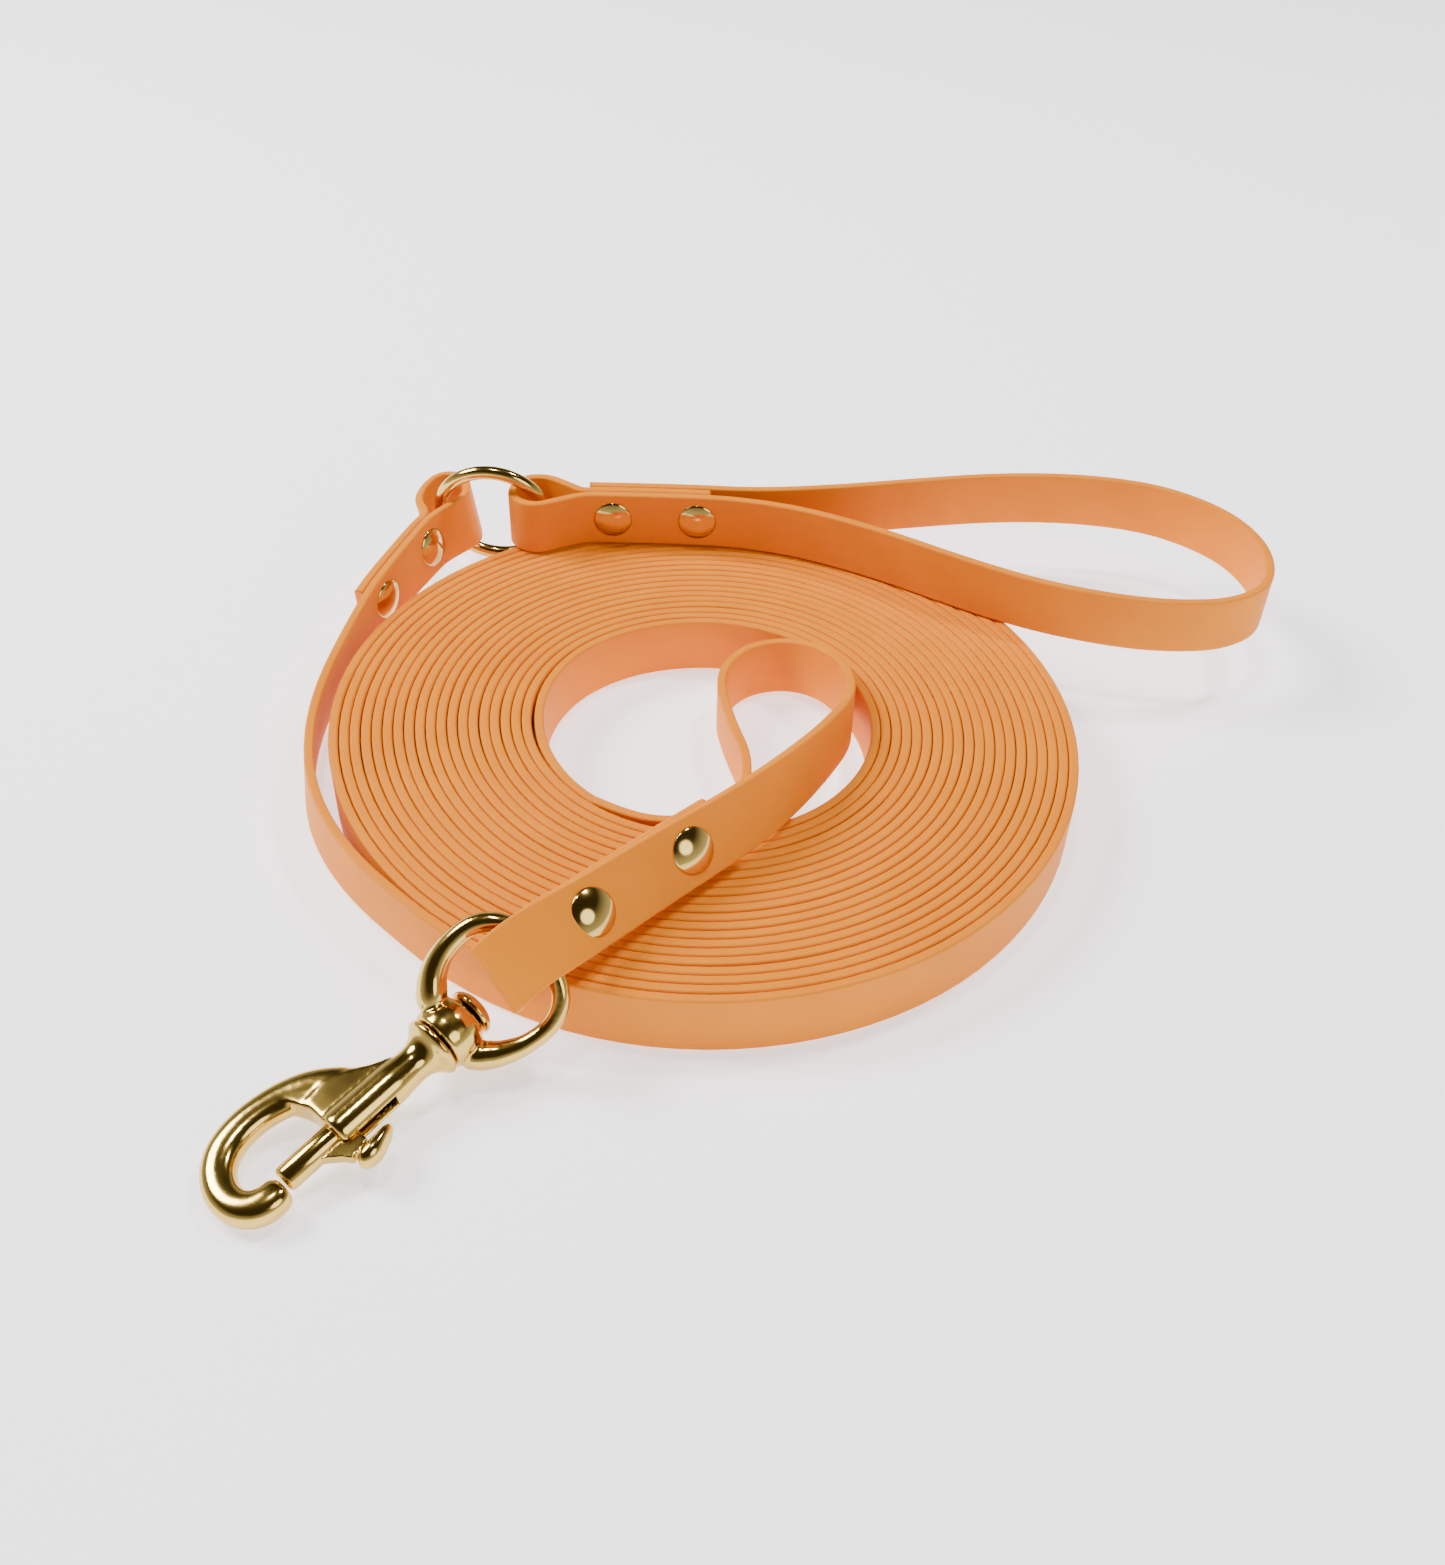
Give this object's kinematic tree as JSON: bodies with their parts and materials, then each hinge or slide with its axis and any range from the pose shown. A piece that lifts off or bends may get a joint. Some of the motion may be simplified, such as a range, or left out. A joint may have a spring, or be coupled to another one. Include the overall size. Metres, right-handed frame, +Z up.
{
  "type": "training leash",
  "caption": "Long dog training leash: a flat orange strap coiled on edge, with a brass snap hook at one end and a riveted hand loop on a brass ring at the other.",
  "frame": {"origin": "centre of the footprint of the coiled leash, on the table it lies on", "axes": "+Z up; -Y towards the snap hook's side of the coil; the hand loop reaches out to +X"},
  "size_m": [0.2571, 0.2416, 0.04],
  "materials": {
    "strap": "smooth matte coated webbing",
    "cast_brass": "polished cast brass",
    "rivet_brass": "polished domed caps",
    "spring_steel": "drawn wire"
  },
  "bodies": {
    "line": {"line_coil": "strap", "line_ring_end": "strap", "line_hook_end": "strap", "hook_rivet_1_post": "rivet_brass", "hook_rivet_1_cap": "rivet_brass", "hook_rivet_2_post": "rivet_brass", "hook_rivet_2_cap": "rivet_brass", "ring_rivet_1_post": "rivet_brass", "ring_rivet_1_cap": "rivet_brass", "ring_rivet_2_post": "rivet_brass", "ring_rivet_2_cap": "rivet_brass"},
    "ring": {"joining_ring": "cast_brass"},
    "handle": {"handle_strap": "strap", "handle_rivet_1_post": "rivet_brass", "handle_rivet_1_cap": "rivet_brass", "handle_rivet_2_post": "rivet_brass", "handle_rivet_2_cap": "rivet_brass"},
    "eye": {"swivel_eye": "cast_brass"},
    "snap": {"snap_body": "cast_brass", "bolt_spring": "spring_steel"},
    "bolt": {"snap_bolt": "cast_brass", "thumb_lever": "cast_brass"}
  },
  "joints": [
    {"name": "ring_swing", "type": "hinge", "parent": "line", "child": "ring", "pos_m": [-0.1045, 0.1041, 0.02], "axis": [0, 0, 1], "range_deg": [0, 8]},
    {"name": "handle_swing", "type": "hinge", "parent": "ring", "child": "handle", "pos_m": [-0.0734, 0.1039, 0.0244], "axis": [0, 0, 1], "range_deg": [-6, 25]},
    {"name": "eye_swing", "type": "hinge", "parent": "line", "child": "eye", "pos_m": [-0.05904, -0.06733, 0.02426], "axis": [-0.6534, 0.4693, 0.594], "range_deg": [0, 30]},
    {"name": "snap_swivel", "type": "hinge", "parent": "eye", "child": "snap", "pos_m": [-0.078, -0.0783, 0.0106], "axis": [-0.6405, -0.7552, -0.1392], "continuous": true},
    {"name": "bolt_slide", "type": "slide", "parent": "snap", "child": "bolt", "axis": [0.6405, 0.7552, 0.1392], "range_m": [0, 0.008], "stiffness_N_per_m": 400, "springref_m": -0.006, "deforming": ["bolt_spring"]}
  ]
}
